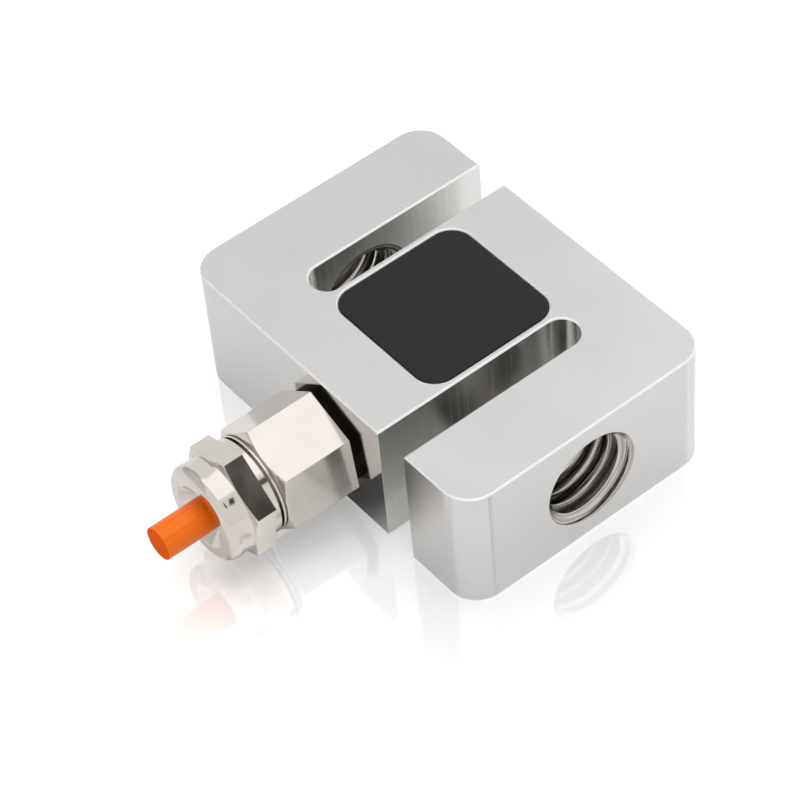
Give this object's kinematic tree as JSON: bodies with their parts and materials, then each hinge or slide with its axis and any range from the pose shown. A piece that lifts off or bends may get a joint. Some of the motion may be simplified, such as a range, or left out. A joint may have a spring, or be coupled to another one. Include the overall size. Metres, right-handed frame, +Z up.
{
  "type": "s type load cell",
  "caption": "S-shaped steel load cell block with a threaded hole in each arm, gauge pockets under black covers and a plated cable gland with an orange cable.",
  "frame": {"origin": "centre of the block's back broad face", "axes": "+X across the block, away from the cable gland; +Y along the load axis; +Z up through the block's thickness"},
  "size_m": [0.0849, 0.072, 0.025],
  "materials": {
    "ground_steel": "fine ground and polished stainless steel",
    "nickel_brass": "nickel-plated brass, machined, bright",
    "cage_plastic": "black polyamide, moulded",
    "washer_rubber": "black nitrile rubber",
    "seal_rubber": "black neoprene rubber",
    "orange_jacket": "orange PVC, smooth, slightly glossy",
    "tinned_copper": "tinned copper wire",
    "filler": "white cotton and polypropylene filler",
    "bridge_insulation": "enamelled wire",
    "resistor_body": "chip resistor",
    "copper": "bare copper strand",
    "core_red": "red PVC insulation",
    "core_green": "green PVC insulation",
    "core_black": "black PVC insulation",
    "core_white": "white PVC insulation",
    "gauge_film": "amber polyimide film with constantan grid",
    "board": "glass epoxy board",
    "solder": "bright solder",
    "potting_gel": "silicone gel",
    "black_cover": "black epoxy cover, smooth satin"
  },
  "bodies": {
    "root": {"bottom_cover": "black_cover", "bottom_gauge_leads": "tinned_copper", "bottom_left_gauge": "gauge_film", "bottom_potting": "potting_gel", "bottom_right_gauge": "gauge_film", "bottom_solder_joints": "solder", "bottom_terminal_board": "board", "bridge_wires": "bridge_insulation", "cable_braid": "tinned_copper", "cable_filler": "filler", "cable_jacket": "orange_jacket", "clamp_cage": "cage_plastic", "compression_seal": "seal_rubber", "copper_black": "copper", "copper_green": "copper", "copper_red": "copper", "copper_white": "copper", "core_black": "core_black", "core_green": "core_green", "core_red": "core_red", "core_white": "core_white", "dome_nut": "nickel_brass", "drain_wire": "tinned_copper", "gland_body": "nickel_brass", "s_body": "ground_steel", "sealing_washer": "washer_rubber", "span_trim_resistor": "resistor_body", "temperature_trim_resistor": "resistor_body", "top_cover": "black_cover", "top_gauge_leads": "tinned_copper", "top_left_gauge": "gauge_film", "top_potting": "potting_gel", "top_right_gauge": "gauge_film", "top_solder_joints": "solder", "top_terminal_board": "board", "zero_trim_resistor": "resistor_body"}
  },
  "joints": []
}
